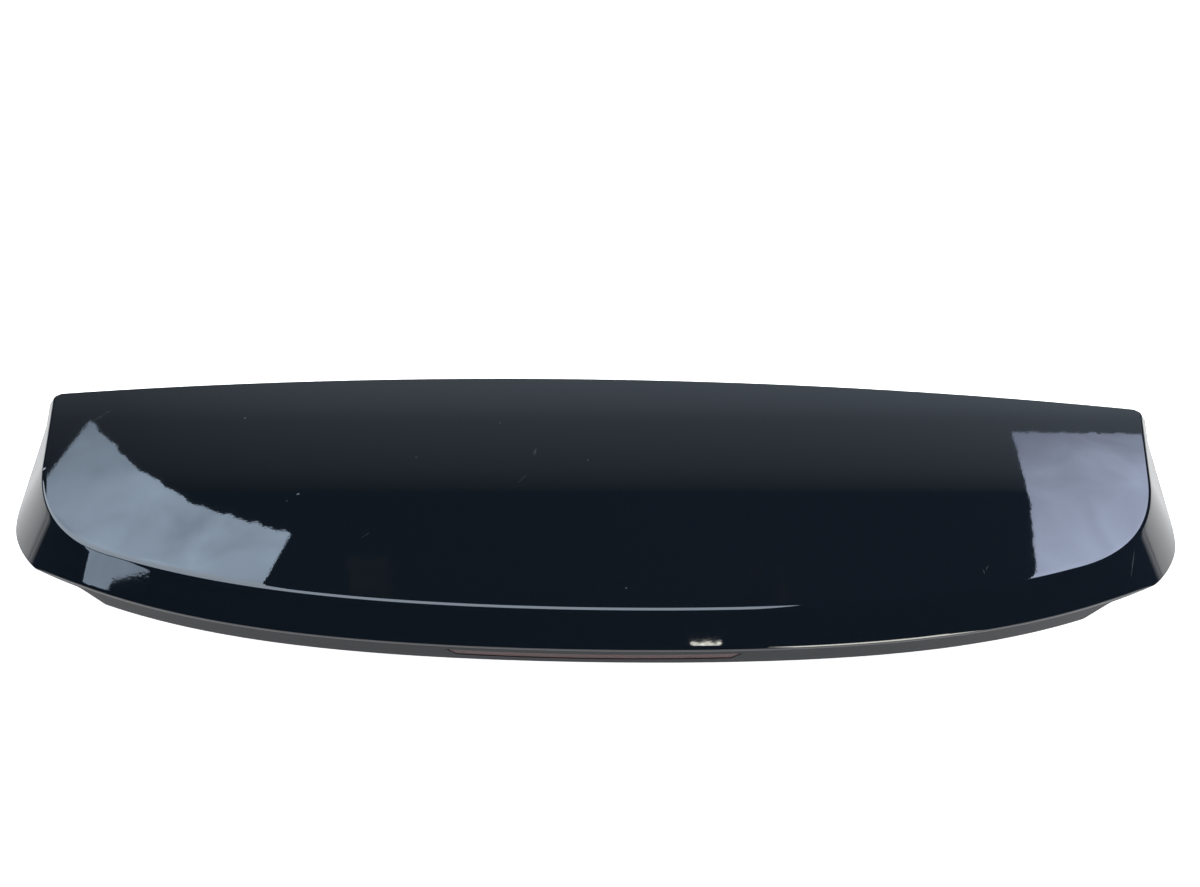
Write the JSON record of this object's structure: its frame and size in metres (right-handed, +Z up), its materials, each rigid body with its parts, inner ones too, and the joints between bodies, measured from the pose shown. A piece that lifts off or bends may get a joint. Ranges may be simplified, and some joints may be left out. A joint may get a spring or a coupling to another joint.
{
  "type": "tailgate spoiler",
  "caption": "Wide tailgate spoiler with a crowned gloss black panel, sloping rear band, side fins and a slim red brake lamp in the strip under its trailing edge.",
  "frame": {"origin": "middle of the stud line, on the plane where the spoiler seats on the tailgate", "axes": "+X across the car, +Y towards its front, +Z up"},
  "size_m": [1.1832, 0.3099, 0.104],
  "materials": {
    "black_paint": "high gloss blue-black paint under clear coat",
    "black_plastic": "fine grained black plastic",
    "adhesive": "dull black adhesive",
    "red_lens": "clear red moulded lens",
    "seal_rubber": "smooth dull rubber",
    "lamp_plastic": "plain moulded plastic",
    "board": "green coated board",
    "led": "small moulded lamps",
    "zinc_steel": "bright zinc plate",
    "pin_metal": "tinned brass",
    "seal_foam": "closed-cell foam",
    "clip_nylon": "natural nylon"
  },
  "bodies": {
    "root": {"outer_skin": "black_paint", "lower_skin": "black_plastic", "bond_bead": "adhesive", "lamp_lens": "red_lens", "lamp_gasket": "seal_rubber", "lamp_housing": "lamp_plastic", "lamp_board": "board", "lamp_leds": "led", "lamp_screws": "zinc_steel", "lamp_socket": "lamp_plastic", "lamp_pins": "pin_metal", "mounting_studs": "zinc_steel", "stud_gaskets": "seal_foam", "edge_clips": "clip_nylon", "front_seal": "seal_foam", "lead_grommet": "seal_rubber"}
  },
  "joints": []
}
